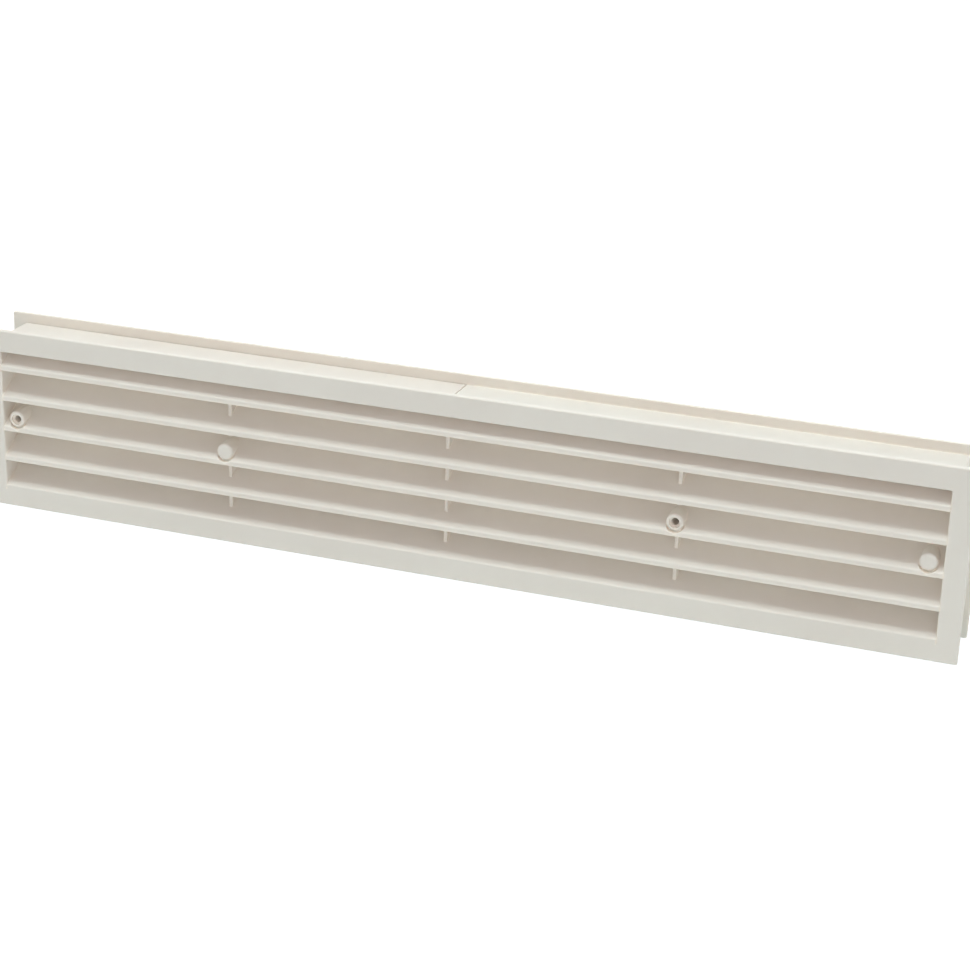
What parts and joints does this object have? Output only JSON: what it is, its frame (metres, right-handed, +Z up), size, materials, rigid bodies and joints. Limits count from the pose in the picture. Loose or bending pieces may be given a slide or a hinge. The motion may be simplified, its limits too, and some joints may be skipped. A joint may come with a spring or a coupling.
{
  "type": "door vent grille",
  "caption": "Door vent grille in flat white plastic: louvred frames whose nested sleeves slide together through a door cut-out and take screws from both sides.",
  "frame": {"origin": "centre of the bounding box's bottom face: mid-length, mid-depth when closed, on the flanges' lower edges", "axes": "+X along the length, +Y through the door from the front half to the rear half, +Z up"},
  "size_m": [0.45, 0.0308, 0.085],
  "materials": {
    "white_plastic": "satin"
  },
  "bodies": {
    "front_half": {"front_flange": "white_plastic", "front_opening_rim": "white_plastic", "front_outer_skirt": "white_plastic", "front_inner_tongues": "white_plastic", "front_box_roof": "white_plastic", "front_box_floor": "white_plastic", "front_box_side_left": "white_plastic", "front_box_side_right": "white_plastic", "front_sill": "white_plastic", "front_louvre_1": "white_plastic", "front_louvre_2": "white_plastic", "front_louvre_3": "white_plastic", "front_louvre_4": "white_plastic", "front_rib_left": "white_plastic", "front_rib_middle": "white_plastic", "front_rib_right": "white_plastic", "front_screw_boss_end": "white_plastic", "front_screw_boss_mid": "white_plastic", "front_pilot_boss_mid": "white_plastic", "front_pilot_boss_end": "white_plastic"},
    "rear_half": {"rear_flange": "white_plastic", "rear_opening_rim": "white_plastic", "rear_outer_skirt": "white_plastic", "rear_inner_tongues": "white_plastic", "rear_box_roof": "white_plastic", "rear_box_floor": "white_plastic", "rear_box_side_left": "white_plastic", "rear_box_side_right": "white_plastic", "rear_sill": "white_plastic", "rear_louvre_1": "white_plastic", "rear_louvre_2": "white_plastic", "rear_louvre_3": "white_plastic", "rear_louvre_4": "white_plastic", "rear_rib_left": "white_plastic", "rear_rib_middle": "white_plastic", "rear_rib_right": "white_plastic", "rear_screw_boss_end": "white_plastic", "rear_screw_boss_mid": "white_plastic", "rear_pilot_boss_mid": "white_plastic", "rear_pilot_boss_end": "white_plastic"}
  },
  "joints": [
    {"name": "sleeve_slide", "type": "slide", "parent": "front_half", "child": "rear_half", "axis": [0, 1, 0], "range_m": [0, 0.016]}
  ]
}
